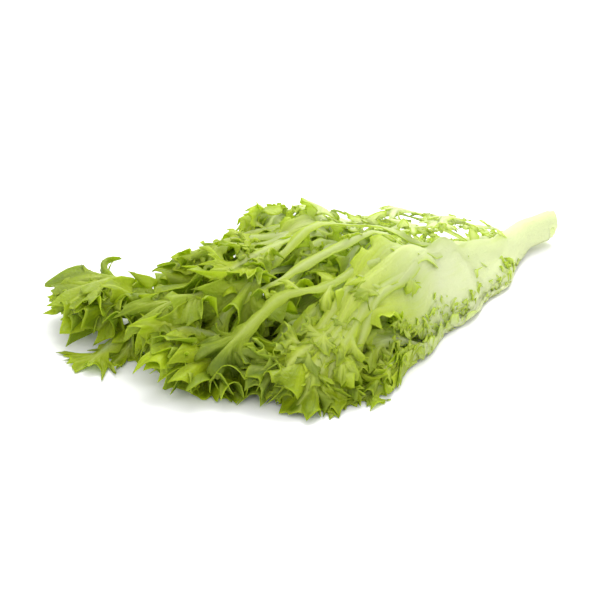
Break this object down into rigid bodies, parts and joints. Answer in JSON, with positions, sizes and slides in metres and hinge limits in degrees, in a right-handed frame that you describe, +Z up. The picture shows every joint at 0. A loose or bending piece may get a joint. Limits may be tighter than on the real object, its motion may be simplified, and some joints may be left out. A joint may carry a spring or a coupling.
{
  "type": "head of frilly lettuce",
  "caption": "Loose head of frilly green lettuce lying on its side, with toothed, curled leaves fanning out from a pale cut stem.",
  "frame": {"origin": "on the surface it lies on, under the middle of its outline", "axes": "+X along the head from the leaf tips to the cut butt, +Z up, +Y towards the side of the left leaf and the back leaf"},
  "size_m": [0.2646, 0.1754, 0.06],
  "materials": {
    "leaf_green": "fresh leaf blade, satin and slightly translucent, pale at the ribs",
    "butt_cream": "cut stem, moist and matte"
  },
  "bodies": {
    "root": {"stem_butt": "butt_cream", "under_leaf": "leaf_green", "left_leaf": "leaf_green", "side_leaf": "leaf_green", "middle_leaf": "leaf_green", "heart_leaf": "leaf_green", "back_leaf": "leaf_green", "front_leaf": "leaf_green", "crest_leaf": "leaf_green"}
  },
  "joints": []
}
